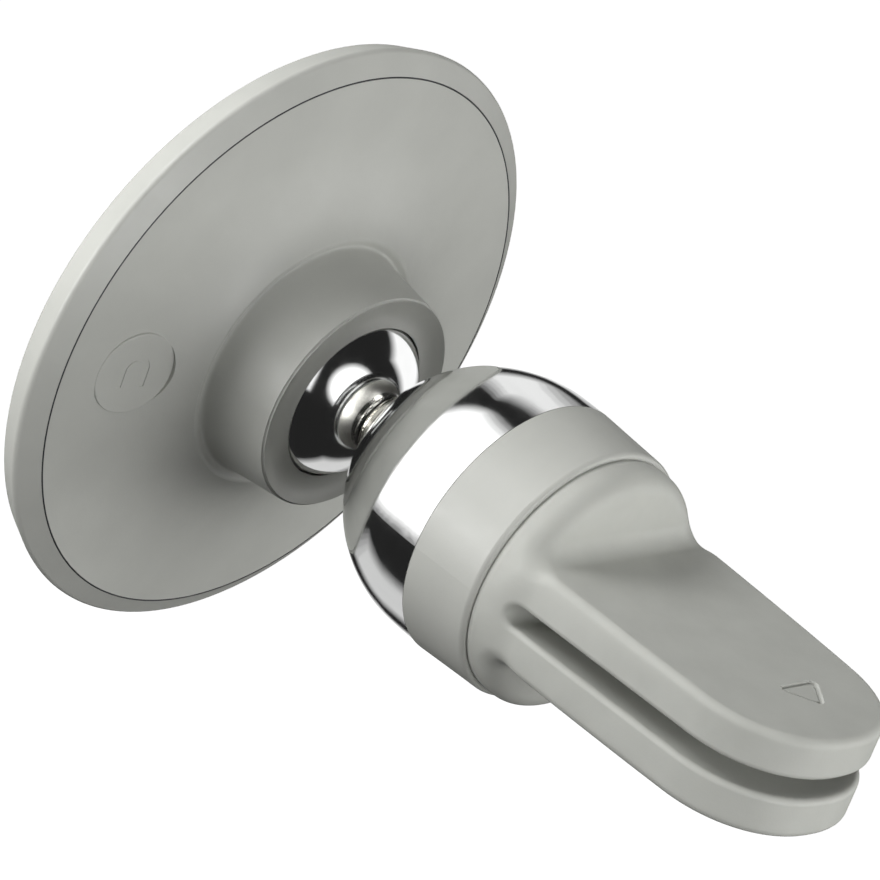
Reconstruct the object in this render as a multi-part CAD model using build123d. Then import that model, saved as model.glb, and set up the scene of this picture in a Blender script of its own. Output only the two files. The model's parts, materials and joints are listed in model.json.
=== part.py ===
"""Magnetic car phone mount that clips on an air-vent blade.

A disc head with a magnet ring holds the phone. A ball stud carries the head, and a silicone
two-jaw clip holds the stud's body on the blade. Millimetres, +Z up. The common axis of all round
pieces is +Y, from the phone's face to the tips of the jaws.

Stations are places along +Y, counted from the head's parting line. The pieces are built at their
stations, and on export all of them move together, so that the mouth of the vent slot is at the
origin.
"""
import os
from math import cos, radians, sin, sqrt

from build123d import *

# ---- head: shell and pad ------------------------------------------------------------------------
PARTING_R = 27.0            # radius of the line between the front shell and the back cover
HEAD_MAX_R = 29.25          # widest ring of the head, where the side wall meets the back bevel
HEAD_MAX_STATION = -1.3
HEAD_MAX_ROUNDING = 0.45
HEAD_FRONT_R = 28.2         # front edge of the side wall
HEAD_FRONT_STATION = -4.1
HEAD_FRONT_BEVEL = 0.3
SHELL_WALL = 1.0
SHELL_LEDGE_WIDTH = 0.75    # ledge that the back cover's rim lies on
PARTING_GAP = 0.06

PAD_R = 26.6
PAD_THICKNESS = 0.85
PAD_EDGE_R = 0.35
ADHESIVE_THICKNESS = 0.15
ADHESIVE_INSET = 0.5

# ---- head: magnets ------------------------------------------------------------------------------
MAGNET_COUNT = 16
MAGNET_INNER_R = 22.0
MAGNET_OUTER_R = 25.8
MAGNET_THICKNESS = 1.6
MAGNET_GAP_DEG = 1.6
CARRIER_FLOOR = 0.25
CARRIER_RIM_WIDTH = 0.9
CARRIER_RIM_GAP = 0.05      # between the magnets and the carrier's inner rim
CARRIER_RIB_WIDTH = 0.4
CARRIER_RIB_COUNT = 4
YOKE_THICKNESS = 0.3
CARRIER_STATION = HEAD_FRONT_STATION + SHELL_WALL
MAGNET_STATION = CARRIER_STATION + CARRIER_FLOOR
YOKE_STATION = MAGNET_STATION + MAGNET_THICKNESS

# ---- head: back cover ---------------------------------------------------------------------------
BOSS_CREST_R = 12.6         # raised rim where the flared cover stops and the boss begins
BOSS_CREST_STATION = 3.2
MOAT_R = 11.9               # bottom of the shallow groove between the crest and the boss
MOAT_STATION = 3.0
BOSS_FOOT_R = 11.25         # foot of the boss's conical wall
BOSS_FOOT_STATION = 4.9
BOSS_LIP_R = 10.65
BOSS_LIP_STATION = 10.1
BOSS_LIP_EDGE = 0.2
DISH_R = 8.95               # lowest ring of the shallow dish round the ball's opening
DISH_STATION = 9.5
OPENING_R = 7.6             # mouth of the socket, smaller than the ball so that it holds the ball in
OPENING_STATION = 9.93
OPENING_BACK = (7.75, 9.6)
SOCKET_SHOULDER = (8.3, 8.75)
SKIRT_TOP_STATION = 7.6
SKIRT_END_STATION = -1.9
SKIRT_WALL = 1.0
COVER_WALL = 0.95
COVER_RIM = 0.85            # thickness of the cover's flat rim
COVER_RIM_WIDTH = 1.5
FLARE_LINEAR = 0.2          # share of the flare's height that grows evenly towards the crest
FLARE_POWER = 4             # the rest grows with this power of the way in

BADGE_R = 4.05
BADGE_OFFSET = 18.85        # badge centre, out from the axis
BADGE_TURN_DEG = 2.6        # turn of the badge about the axis, from +X towards -Z
BADGE_TILT_DEG = 8.5
BADGE_PROUD = 0.22
BADGE_EDGE_R = 0.12
ICON_DEPTH = 0.08
ICON_OUTER_R = 1.45
ICON_INNER_R = 1.0
ICON_LEG = 1.7
ICON_LIFT = 0.3

# ---- head: ball seats and their clamp -----------------------------------------------------------
BALL_R = 8.5
BALL_STATION = 5.8
SPHERE_FIT = 0.05           # radial clearance of the ball in its two seats
BORE_FIT = 0.05             # radial clearance of a turning fit
SEAT_OUTER_R = 9.7
SEAT_GAP = 0.4              # between the two seats, at the ball's middle
FRONT_SEAT_INNER_R = 7.0
FRONT_SEAT_STEP = (8.2, 7.5)
FRONT_SEAT_END = 8.5
REAR_SEAT_INNER_R = 4.2
REAR_SEAT_END = -1.1
SPRING_THICKNESS = 0.35
SPRING_INNER_R = 6.2
SPRING_OUTER_R = 9.3
SPRING_LIFT = 0.08

CLAMP_PLATE_FACE = -2.1
CLAMP_PLATE_THICKNESS = 0.85
CLAMP_PLATE_R = 16.0
CLAMP_PLATE_BORE_R = 3.6
CLAMP_SCREW_COUNT = 3
CLAMP_SCREW_FIRST_DEG = 30
CLAMP_SCREW_CIRCLE_R = 13.2
CLAMP_SCREW_END = 0.4
CLAMP_SCREW_HEAD_R = 1.75
CLAMP_POST_R = 2.1
CLAMP_POST_END = 0.9
SCREW_R = 0.95
CROSS_SLOT = (1.7, 0.4, 0.5)    # length, depth and width of one slot of a cross recess

# ---- stud ---------------------------------------------------------------------------------------
STUD_R = 2.5
STUD_END_STATION = 31.0
STUD_END_CHAMFER = 0.4
FERRULE_FRONT_R = 3.0
FERRULE_FRONT_STATION = 13.75
FERRULE_GROOVE = ((3.15, 14.1), (3.0, 14.2), (3.25, 14.35))
FERRULE_WAIST = ((3.75, 15.1), (4.75, 16.05))
FERRULE_REAR_R = 6.1
FERRULE_REAR_STATION = 16.9
FERRULE_RIM = 0.25
NUT_START = 26.7
NUT_HEIGHT = 4.0
NUT_ACROSS_FLATS = 8.0
STUD_WASHER_R = 4.6
STUD_WASHER_THICKNESS = 0.5

# ---- body ---------------------------------------------------------------------------------------
DOME_HOLE_R = 6.9
DOME_FRONT_STATION = 17.2
DOME_EDGE = 0.25            # rolled edge of the dome's hole
DOME_CURVE = ((9.15, 19.0), (11.25, 22.0), (12.35, 25.0))
DOME_WALL = 1.0
BODY_R = 12.76              # widest ring of the body, between the dome and the collar
COLLAR_FRONT_STATION = 30.9
COLLAR_REAR_R = 12.42
COLLAR_REAR_STATION = 38.1
COLLAR_REAR_ROUNDING = 0.5
COLLAR_BORE_R = 11.35
COLLAR_GAP = 0.05           # between the dome and the collar

SLIP_WASHER_R = 6.5
SLIP_WASHER_GAP = 0.1
BUSH_START = DOME_FRONT_STATION + 0.45
BUSH_END = 26.0
BUSH_OUTER_R = 3.6
BUSH_FLANGE_R = 6.0
BUSH_FLANGE_THICKNESS = 0.8
BLOCK_FRONT_R = 6.6
BLOCK_SHOULDER = (7.6, 19.4)
BLOCK_CURVE = ((9.6, 22.0), (10.9, 25.0))
BLOCK_R = 11.3
BLOCK_FULL_STATION = 27.5
BLOCK_END = 31.6
NUT_POCKET_R = 6.0

# ---- clip frame ---------------------------------------------------------------------------------
FRAME_R = 10.4
FRAME_REAR_STATION = 40.4
FRAME_FLANGE_END = 33.8
FRAME_RECESS_R = 5.0
FRAME_RECESS_END = 33.5
FRAME_SCREW_X = 8.5
FRAME_SCREW_R = 0.9
FRAME_SCREW_START = 27.4
FRAME_SCREW_SEAT = 38.6
FRAME_SCREW_HEAD_R = 1.6
FRAME_SCREW_HEAD_END = 39.8
FRAME_CROSS_SLOT = (1.8, 0.4, 0.9)

# ---- vent clip ----------------------------------------------------------------------------------
BOOT_R = 11.95
BOOT_FRONT_STATION = 34.0
BOOT_REAR_STATION = 41.9
BOOT_EDGE_R = 2.0 - 0.55
HEM_STEP = 0.1              # the boot is this much slimmer under the collar
HEM_RISE = 0.6              # length of the slope from the hem to the full radius
SLOT_ROOT_STATION = 41.3
SLOT_HALF_GAP = 1.0
SLOT_MOUTH = 71.2
JAW_OUTER_Z = 4.9
JAW_START_STATION = 42.3
JAW_ROOT_HALF_WIDTH = 11.35
JAW_CORNER = (10.05, 65.7)  # where a side would meet the bulged front without its rounding
JAW_CORNER_R = 6.0
JAW_ROUNDING = 0.9
JAW_CORE_START = 40.75
JAW_CORE_HALF_WIDTH = 7.5
JAW_CORE_CORNER = (6.6, 63.2)
JAW_CORE_CORNER_R = 3.0
JAW_CORE_END = 66.0
JAW_CORE_Z = (2.1, 3.9)
JAW_CORE_ROOM = (0.3, 0.4)  # clearance of the prongs in the boot, along X and along Z

ARROW_MIDDLE = -1.4
ARROW_HALF_WIDTH = 2.05
ARROW_BASE = 62.4
ARROW_POINT = 65.4
ARROW_DEPTH = 0.2

os.makedirs("parts", exist_ok=True)


# ---- helpers ------------------------------------------------------------------------------------
def turned(*points):
    """Solid of revolution about +Y from a closed outline of (radius, station) corners."""
    return revolve(make_face(Polyline(*points, close=True)), Axis.Y)


def turned_edges(*edges):
    """Solid of revolution about +Y from edges that join up to one closed outline."""
    return revolve(make_face(edges), Axis.Y)


def tube(inner_r, outer_r, start, end):
    """Plain ring between two stations."""
    return turned((inner_r, start), (outer_r, start), (outer_r, end), (inner_r, end))


def disc(radius, start, end):
    """Plain round plate or rod between two stations."""
    return turned((0, start), (radius, start), (radius, end), (0, end))


def around(shape, count, first_deg=0.0):
    """Copies of a shape at equal turns about +Y."""
    return [Rot(0, first_deg + i * 360 / count, 0) * shape for i in range(count)]


def circles_by_station(shape):
    """Round edges of a shape, sorted along the axis."""
    return shape.edges().filter_by(GeomType.CIRCLE).sort_by(Axis.Y)


def cross_slots(slot, station):
    """Two crossed boxes that cut a screw's recess, centred on the given station."""
    return [Pos(0, station, 0) * Rot(0, turn, 0) * Box(*slot) for turn in (0, 90)]


def save(name, shape):
    """Move a piece from its station to the row frame and write it."""
    export_step(Pos(0, -SLOT_MOUTH, 0) * shape, f"parts/{name}.step")


# ---- head: phone side ---------------------------------------------------------------------------
def phone_pad():
    rear = HEAD_FRONT_STATION - ADHESIVE_THICKNESS
    pad = disc(PAD_R, rear - PAD_THICKNESS, rear)
    return fillet(circles_by_station(pad)[0], PAD_EDGE_R)


def pad_adhesive():
    front = HEAD_FRONT_STATION - ADHESIVE_THICKNESS
    return disc(PAD_R - ADHESIVE_INSET, front, HEAD_FRONT_STATION)


def front_shell():
    """Shallow cup with a beveled rear edge and an inner ledge for the back cover."""
    shell = turned(
        (0, HEAD_FRONT_STATION),
        (HEAD_FRONT_R - HEAD_FRONT_BEVEL, HEAD_FRONT_STATION),
        (HEAD_FRONT_R, HEAD_FRONT_STATION + HEAD_FRONT_BEVEL),
        (HEAD_MAX_R, HEAD_MAX_STATION),
        (PARTING_R + PARTING_GAP, 0),
        (PARTING_R + PARTING_GAP, -COVER_RIM),
        (PARTING_R - SHELL_LEDGE_WIDTH, -COVER_RIM),
        (PARTING_R - SHELL_LEDGE_WIDTH, CARRIER_STATION),
        (0, CARRIER_STATION),
    )
    widest = shell.edges().filter_by(GeomType.CIRCLE).sort_by(lambda e: e.radius)[-1]
    return fillet(widest, HEAD_MAX_ROUNDING)


# ---- head: magnets ------------------------------------------------------------------------------
def magnet():
    """One arc magnet, its middle on +X."""
    blank = tube(MAGNET_INNER_R, MAGNET_OUTER_R, MAGNET_STATION, YOKE_STATION)
    half = 180 / MAGNET_COUNT - MAGNET_GAP_DEG / 2
    reach = 2 * MAGNET_OUTER_R
    corner = (reach * cos(radians(half)), reach * sin(radians(half)))
    wedge_face = make_face(Polyline((0, 0), corner, (corner[0], -corner[1]), close=True))
    wedge = extrude(Plane.XZ * wedge_face, MAGNET_OUTER_R, both=True)
    return blank & wedge


def magnet_ring():
    return Compound(children=around(magnet(), MAGNET_COUNT))


def magnet_carrier():
    """Tray that locates the magnets: a floor, an inner rim and a rib in every fourth gap."""
    rim_r = MAGNET_INNER_R - CARRIER_RIM_GAP
    floor_r = PARTING_R - SHELL_LEDGE_WIDTH - 0.15
    tray = tube(rim_r - CARRIER_RIM_WIDTH, floor_r, CARRIER_STATION, MAGNET_STATION)
    tray += tube(rim_r - CARRIER_RIM_WIDTH, rim_r, CARRIER_STATION, YOKE_STATION)
    rib_start = rim_r - CARRIER_RIM_WIDTH / 2
    rib_length = MAGNET_OUTER_R - rib_start
    rib_base = CARRIER_STATION + CARRIER_FLOOR / 2
    rib_top = YOKE_STATION - 0.1
    rib_middle = Pos(rib_start + rib_length / 2, (rib_base + rib_top) / 2, 0)
    rib = rib_middle * Box(rib_length, rib_top - rib_base, CARRIER_RIB_WIDTH)
    for spoke in around(rib, CARRIER_RIB_COUNT, 180 / MAGNET_COUNT):
        tray += spoke
    return tray


def yoke_ring():
    inner_r = MAGNET_INNER_R - CARRIER_RIM_WIDTH
    return tube(inner_r, MAGNET_OUTER_R, YOKE_STATION, YOKE_STATION + YOKE_THICKNESS)


# ---- head: back cover ---------------------------------------------------------------------------
def cover_slope(radius):
    """Station of the back cover's flared outer face: flat at the rim and steep at the crest."""
    reach = (PARTING_R - radius) / (PARTING_R - BOSS_CREST_R)
    flare = FLARE_LINEAR * reach + (1 - FLARE_LINEAR) * reach**FLARE_POWER
    return BOSS_CREST_STATION * flare


def cover_face(offset, outer_r, inner_r):
    """Curve of the flared face, moved along the axis by an offset."""
    count = 7
    radii = [outer_r + (inner_r - outer_r) * i / (count - 1) for i in range(count)]
    return Spline(*[(r, cover_slope(r) + offset) for r in radii])


def horseshoe():
    """Outline of a plain horseshoe magnet, open towards its foot, centred on its own origin."""
    stroke = ICON_OUTER_R - ICON_INNER_R
    upper_half = Pos(0, ICON_OUTER_R, 0) * Rectangle(4 * ICON_OUTER_R, 2 * ICON_OUTER_R)
    icon = (Circle(ICON_OUTER_R) - Circle(ICON_INNER_R)) & upper_half
    for side in (-1, 1):
        leg_x = side * (ICON_OUTER_R - stroke / 2)
        icon += Pos(leg_x, -ICON_LEG / 2, 0) * Rectangle(stroke, ICON_LEG)
    return Pos(0, ICON_LIFT, 0) * icon


def badge_plane(lift):
    """Plane of the badge's face, square to the cover under it."""
    tilt = radians(BADGE_TILT_DEG)
    normal = Vector(sin(tilt), cos(tilt), 0)
    middle = Vector(BADGE_OFFSET, cover_slope(BADGE_OFFSET), 0)
    along = Vector(-cos(tilt), sin(tilt), 0)
    return Plane(origin=middle + normal * lift, x_dir=along, z_dir=normal)


def cover_blank():
    """The cover's turned body: flared face, moat, boss, dish, socket mouth and guide skirt."""
    skirt_r = SEAT_OUTER_R + BORE_FIT
    rim_r = PARTING_R - COVER_RIM_WIDTH
    crest = (BOSS_CREST_R, BOSS_CREST_STATION)
    foot = (BOSS_FOOT_R, BOSS_FOOT_STATION)
    lip_outer = (BOSS_LIP_R, BOSS_LIP_STATION - BOSS_LIP_EDGE)
    lip_inner = (BOSS_LIP_R - BOSS_LIP_EDGE, BOSS_LIP_STATION)
    opening = (OPENING_R, OPENING_STATION)
    skirt_top = (skirt_r, SKIRT_TOP_STATION)
    skirt_end = (skirt_r, SKIRT_END_STATION)
    outer_end = (skirt_r + SKIRT_WALL, SKIRT_END_STATION)
    outer_top = (skirt_r + SKIRT_WALL, BOSS_CREST_STATION - COVER_WALL - 0.3)
    crest_inside = (BOSS_CREST_R, BOSS_CREST_STATION - COVER_WALL)
    wall_lean = (BOSS_LIP_R - BOSS_FOOT_R, BOSS_LIP_STATION - BOSS_FOOT_STATION)
    return turned_edges(
        Line((PARTING_R, -COVER_RIM), (PARTING_R, 0)),
        cover_face(0, PARTING_R, BOSS_CREST_R),
        Spline(crest, (MOAT_R, MOAT_STATION), foot, tangents=[(-1, 0.35), wall_lean]),
        Line(foot, lip_outer),
        RadiusArc(lip_outer, lip_inner, BOSS_LIP_EDGE),
        Spline(lip_inner, (DISH_R, DISH_STATION), opening),
        Line(opening, OPENING_BACK),
        Line(OPENING_BACK, SOCKET_SHOULDER),
        Line(SOCKET_SHOULDER, skirt_top),
        Line(skirt_top, skirt_end),
        Line(skirt_end, outer_end),
        Line(outer_end, outer_top),
        Line(outer_top, crest_inside),
        cover_face(-COVER_WALL, BOSS_CREST_R, rim_r),
        Line((rim_r, cover_slope(rim_r) - COVER_WALL), (rim_r, -COVER_RIM)),
        Line((rim_r, -COVER_RIM), (PARTING_R, -COVER_RIM)),
    )


def back_cover():
    """Flared cover with its badge and three screw posts inside."""
    cover = cover_blank()
    turn = Rot(0, BADGE_TURN_DEG, 0)
    face = badge_plane(BADGE_PROUD)
    badge = extrude(face * Circle(BADGE_R), -COVER_WALL)
    badge = fillet(circles_by_station(badge)[-1], BADGE_EDGE_R)
    badge -= extrude(face * horseshoe(), -ICON_DEPTH)
    cover -= turn * extrude(face * Circle(BADGE_R), COVER_WALL)
    cover += turn * badge
    place = Pos(CLAMP_SCREW_CIRCLE_R, 0, 0)
    post = place * disc(CLAMP_POST_R, CLAMP_PLATE_FACE, CLAMP_POST_END)
    hole = place * disc(SCREW_R, CLAMP_PLATE_FACE, CLAMP_SCREW_END)
    for solid in around(post, CLAMP_SCREW_COUNT, CLAMP_SCREW_FIRST_DEG):
        cover += solid
    for cutter in around(hole, CLAMP_SCREW_COUNT, CLAMP_SCREW_FIRST_DEG):
        cover -= cutter
    return cover


# ---- head: ball seats and their clamp -----------------------------------------------------------
def ball_room():
    """The ball with its fit, as a cutter for both seats."""
    return Pos(0, BALL_STATION, 0) * Sphere(BALL_R + SPHERE_FIT)


def front_seat():
    step_r, step_station = FRONT_SEAT_STEP
    start = BALL_STATION + SEAT_GAP / 2
    ring = turned(
        (FRONT_SEAT_INNER_R, start),
        (SEAT_OUTER_R, start),
        (SEAT_OUTER_R, step_station),
        (step_r, FRONT_SEAT_END),
        (FRONT_SEAT_INNER_R, FRONT_SEAT_END),
    )
    return ring - ball_room()


def rear_seat():
    end = BALL_STATION - SEAT_GAP / 2
    return tube(REAR_SEAT_INNER_R, SEAT_OUTER_R, REAR_SEAT_END, end) - ball_room()


def disc_spring():
    """Cone-shaped spring washer that presses the rear seat on the ball."""
    low = CLAMP_PLATE_FACE + SPRING_LIFT
    high = REAR_SEAT_END - SPRING_THICKNESS
    return turned(
        (SPRING_INNER_R, high),
        (SPRING_OUTER_R, low),
        (SPRING_OUTER_R, low + SPRING_THICKNESS),
        (SPRING_INNER_R, high + SPRING_THICKNESS),
    )


def clamp_screw_blank(spare):
    """Countersunk screw along +Y; a little spare room makes it the cutter for its hole."""
    head_start = CLAMP_PLATE_FACE - CLAMP_PLATE_THICKNESS
    head = turned(
        (0, head_start),
        (CLAMP_SCREW_HEAD_R + spare, head_start),
        (SCREW_R + spare, CLAMP_PLATE_FACE),
        (0, CLAMP_PLATE_FACE),
    )
    return head + disc(SCREW_R + spare, CLAMP_PLATE_FACE, CLAMP_SCREW_END)


def clamp_plate():
    start = CLAMP_PLATE_FACE - CLAMP_PLATE_THICKNESS
    plate = tube(CLAMP_PLATE_BORE_R, CLAMP_PLATE_R, start, CLAMP_PLATE_FACE)
    cutter = Pos(CLAMP_SCREW_CIRCLE_R, 0, 0) * clamp_screw_blank(BORE_FIT)
    for hole in around(cutter, CLAMP_SCREW_COUNT, CLAMP_SCREW_FIRST_DEG):
        plate -= hole
    return plate


def clamp_screws():
    screw = clamp_screw_blank(0)
    recess = CLAMP_PLATE_FACE - CLAMP_PLATE_THICKNESS + CROSS_SLOT[1] / 2
    for slot in cross_slots(CROSS_SLOT, recess):
        screw -= slot
    screw = Pos(CLAMP_SCREW_CIRCLE_R, 0, 0) * screw
    return Compound(children=around(screw, CLAMP_SCREW_COUNT, CLAMP_SCREW_FIRST_DEG))


# ---- stud ---------------------------------------------------------------------------------------
def ball_stud():
    """Ball, short neck and threaded shank in one turned piece."""
    ball = Pos(0, BALL_STATION, 0) * Sphere(BALL_R)
    neck_start = BALL_STATION + sqrt(BALL_R**2 - STUD_R**2)
    shank = disc(STUD_R, neck_start - 1.0, STUD_END_STATION)
    return ball + chamfer(circles_by_station(shank)[-1], STUD_END_CHAMFER)


def neck_ferrule():
    """Satin cone on the neck, with a fine groove behind its front lip."""
    inner_front = (STUD_R, FERRULE_FRONT_STATION + 0.3)
    lip = (FERRULE_FRONT_R, FERRULE_FRONT_STATION + 0.15)
    groove_start, groove_bottom, groove_end = FERRULE_GROOVE
    rim_start = (FERRULE_REAR_R, FERRULE_REAR_STATION - FERRULE_RIM)
    rim_end = (FERRULE_REAR_R, FERRULE_REAR_STATION)
    inner_rear = (STUD_R, FERRULE_REAR_STATION)
    return turned_edges(
        Line(inner_front, lip),
        Line(lip, groove_start),
        Line(groove_start, groove_bottom),
        Line(groove_bottom, groove_end),
        Spline(groove_end, *FERRULE_WAIST, rim_start),
        Line(rim_start, rim_end),
        Line(rim_end, inner_rear),
        Line(inner_rear, inner_front),
    )


def stud_washer():
    return tube(STUD_R, STUD_WASHER_R, NUT_START - STUD_WASHER_THICKNESS, NUT_START)


def stud_nut():
    """Locking nut on the end of the shank."""
    hexagon = RegularPolygon(NUT_ACROSS_FLATS / 2, 6, major_radius=False)
    body = Pos(0, NUT_START, 0) * extrude(Plane.XZ * hexagon, -NUT_HEIGHT)
    return body - disc(STUD_R, NUT_START - 1, NUT_START + NUT_HEIGHT + 1)


# ---- body ---------------------------------------------------------------------------------------
def slip_washer():
    """Thin bright washer between the ferrule and the bush."""
    start = FERRULE_REAR_STATION + SLIP_WASHER_GAP
    return tube(STUD_R + BORE_FIT, SLIP_WASHER_R, start, BUSH_START)


def stud_bush():
    """Flanged bush that the stud turns in."""
    bore = STUD_R + BORE_FIT
    flange = tube(bore, BUSH_FLANGE_R, BUSH_START, BUSH_START + BUSH_FLANGE_THICKNESS)
    return flange + tube(bore, BUSH_OUTER_R, BUSH_START, BUSH_END)


def dome_curve(offset):
    """Outer face of the dome from its hole to the collar, or a face inside it by the offset."""
    front, middle, rear = DOME_CURVE
    return Spline(
        (DOME_HOLE_R + DOME_EDGE, DOME_FRONT_STATION + offset),
        (front[0] - 0.7 * offset, front[1] + 0.7 * offset),
        (middle[0] - 0.9 * offset, middle[1] + 0.35 * offset),
        (rear[0] - offset, rear[1] + 0.1 * offset),
        (BODY_R - offset, COLLAR_FRONT_STATION),
        tangents=[(1, 0.75), (0, 1)],
    )


def dome_cap():
    """Chromed cap, a thin shell with a rolled edge round the stud's hole."""
    rolled = (DOME_HOLE_R, DOME_FRONT_STATION + DOME_EDGE)
    crown = (DOME_HOLE_R + DOME_EDGE, DOME_FRONT_STATION)
    crown_inside = (DOME_HOLE_R + DOME_EDGE, DOME_FRONT_STATION + DOME_WALL)
    hole_inside = (DOME_HOLE_R, DOME_FRONT_STATION + DOME_WALL)
    rear = (BODY_R, COLLAR_FRONT_STATION)
    rear_inside = (BODY_R - DOME_WALL, COLLAR_FRONT_STATION)
    return turned_edges(
        Line(rolled, crown),
        dome_curve(0),
        Line(rear, rear_inside),
        dome_curve(DOME_WALL),
        Line(crown_inside, hole_inside),
        Line(hole_inside, rolled),
    )


def bearing_block():
    """Plastic core inside the dome: holds the bush, and leaves a pocket for the nut."""
    front_station = BUSH_START + BUSH_FLANGE_THICKNESS
    front = (BLOCK_FRONT_R, front_station)
    full = (BLOCK_R, BLOCK_FULL_STATION)
    outer_end = (BLOCK_R, BLOCK_END)
    pocket_end = (NUT_POCKET_R, BLOCK_END)
    pocket_start = (NUT_POCKET_R, BUSH_END)
    bush_end = (BUSH_OUTER_R, BUSH_END)
    bush_front = (BUSH_OUTER_R, front_station)
    block = turned_edges(
        Line(bush_front, front),
        Line(front, BLOCK_SHOULDER),
        Spline(BLOCK_SHOULDER, *BLOCK_CURVE, full),
        Line(full, outer_end),
        Line(outer_end, pocket_end),
        Line(pocket_end, pocket_start),
        Line(pocket_start, bush_end),
        Line(bush_end, bush_front),
    )
    for side in (-1, 1):
        hole = disc(FRAME_SCREW_R, FRAME_SCREW_START - 0.4, BLOCK_END + 0.1)
        block -= Pos(side * FRAME_SCREW_X, 0, 0) * hole
    return block


def collar_ring():
    """Plastic collar behind the dome; it has an inner step that the boot's hem sits in."""
    front = COLLAR_FRONT_STATION + COLLAR_GAP
    hem_r = BOOT_R - HEM_STEP
    ring = turned(
        (COLLAR_BORE_R, front),
        (BODY_R, front),
        (COLLAR_REAR_R, COLLAR_REAR_STATION),
        (hem_r, COLLAR_REAR_STATION),
        (hem_r, BOOT_FRONT_STATION),
        (COLLAR_BORE_R, BOOT_FRONT_STATION),
    )
    outer_rear = circles_by_station(ring).filter_by(lambda e: abs(e.radius - COLLAR_REAR_R) < 0.01)
    return fillet(outer_rear, COLLAR_REAR_ROUNDING)


# ---- clip frame ---------------------------------------------------------------------------------
def clip_frame():
    """Plastic plug behind the bearing block that carries the two jaws."""
    plug = disc(FRAME_R, BLOCK_END, FRAME_REAR_STATION)
    plug += tube(FRAME_R - 0.5, BLOCK_R, BLOCK_END, FRAME_FLANGE_END)
    plug -= disc(FRAME_RECESS_R, BLOCK_END - 0.1, FRAME_RECESS_END)
    hole = disc(FRAME_SCREW_R + BORE_FIT, BLOCK_END - 0.1, FRAME_SCREW_SEAT)
    head_r = FRAME_SCREW_HEAD_R + BORE_FIT
    hole += disc(head_r, FRAME_SCREW_SEAT, FRAME_REAR_STATION + 0.1)
    for side in (-1, 1):
        plug -= Pos(side * FRAME_SCREW_X, 0, 0) * hole
    return plug


def frame_screws():
    """Two screws that hold the frame on the bearing block."""
    screw = disc(FRAME_SCREW_HEAD_R, FRAME_SCREW_SEAT, FRAME_SCREW_HEAD_END)
    screw += disc(FRAME_SCREW_R, FRAME_SCREW_START, FRAME_SCREW_SEAT)
    for slot in cross_slots(FRAME_CROSS_SLOT, FRAME_SCREW_HEAD_END):
        screw -= slot
    return Compound(children=[Pos(side * FRAME_SCREW_X, 0, 0) * screw for side in (-1, 1)])


# ---- vent clip ----------------------------------------------------------------------------------
def clip_boot():
    """Silicone boot over the frame, with the root of the vent slot in its rear face."""
    hem_r = BOOT_R - HEM_STEP
    boot = turned(
        (FRAME_R, BOOT_FRONT_STATION),
        (hem_r, BOOT_FRONT_STATION),
        (hem_r, COLLAR_REAR_STATION),
        (BOOT_R, COLLAR_REAR_STATION + HEM_RISE),
        (BOOT_R, BOOT_REAR_STATION),
        (0, BOOT_REAR_STATION),
        (0, FRAME_REAR_STATION),
        (FRAME_R, FRAME_REAR_STATION),
    )
    boot = fillet(circles_by_station(boot).group_by(Axis.Y)[-1], BOOT_EDGE_R)
    depth = BOOT_REAR_STATION - SLOT_ROOT_STATION
    slot = Box(3 * BOOT_R, 2 * depth, 2 * SLOT_HALF_GAP)
    boot -= Pos(0, BOOT_REAR_STATION, 0) * slot
    low, high = JAW_CORE_Z
    room_x, room_z = JAW_CORE_ROOM
    rear_wall = BOOT_REAR_STATION - FRAME_REAR_STATION
    pocket = Box(2 * (JAW_CORE_HALF_WIDTH + room_x), 3 * rear_wall, high - low + 2 * room_z)
    for side in (-1, 1):
        boot -= Pos(0, BOOT_REAR_STATION, side * (low + high) / 2) * pocket
    return boot


def jaw_plan(start, root_half, corner, end, corner_r):
    """Flat outline of a jaw: tapered sides and a bulged front with large rounded corners."""
    mirrored = (-corner[0], corner[1])
    outline = make_face(
        [
            Line((root_half, start), corner),
            ThreePointArc(corner, (0, end), mirrored),
            Line(mirrored, (-root_half, start)),
            Line((-root_half, start), (root_half, start)),
        ]
    )
    return fillet(outline.vertices().sort_by(Axis.Y)[-2:], corner_r)


def jaw_core():
    """Stiff prong inside the upper jaw."""
    low, high = JAW_CORE_Z
    plan = jaw_plan(
        JAW_CORE_START, JAW_CORE_HALF_WIDTH, JAW_CORE_CORNER, JAW_CORE_END, JAW_CORE_CORNER_R
    )
    return extrude(Pos(0, 0, low) * plan, high - low)


def jaw_cover(core):
    """Silicone cover moulded round the upper prong."""
    plan = jaw_plan(JAW_START_STATION, JAW_ROOT_HALF_WIDTH, JAW_CORNER, SLOT_MOUTH, JAW_CORNER_R)
    cover = extrude(Pos(0, 0, SLOT_HALF_GAP) * plan, JAW_OUTER_Z - SLOT_HALF_GAP)
    faces = cover.faces().sort_by(Axis.Z)
    edges = faces[0].edges() + faces[-1].edges()
    rounded = edges.filter_by(lambda e: e.center().Y > JAW_START_STATION + 0.01)
    return fillet(rounded, JAW_ROUNDING) - core


def arrow_mark():
    """Shallow three-cornered recess that points to the jaw's tip."""
    mark = make_face(
        Polyline(
            (ARROW_MIDDLE - ARROW_HALF_WIDTH, ARROW_BASE),
            (ARROW_MIDDLE + ARROW_HALF_WIDTH, ARROW_BASE),
            (ARROW_MIDDLE, ARROW_POINT),
            close=True,
        )
    )
    return extrude(Pos(0, 0, JAW_OUTER_Z - ARROW_DEPTH) * mark, 1.0)


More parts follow.
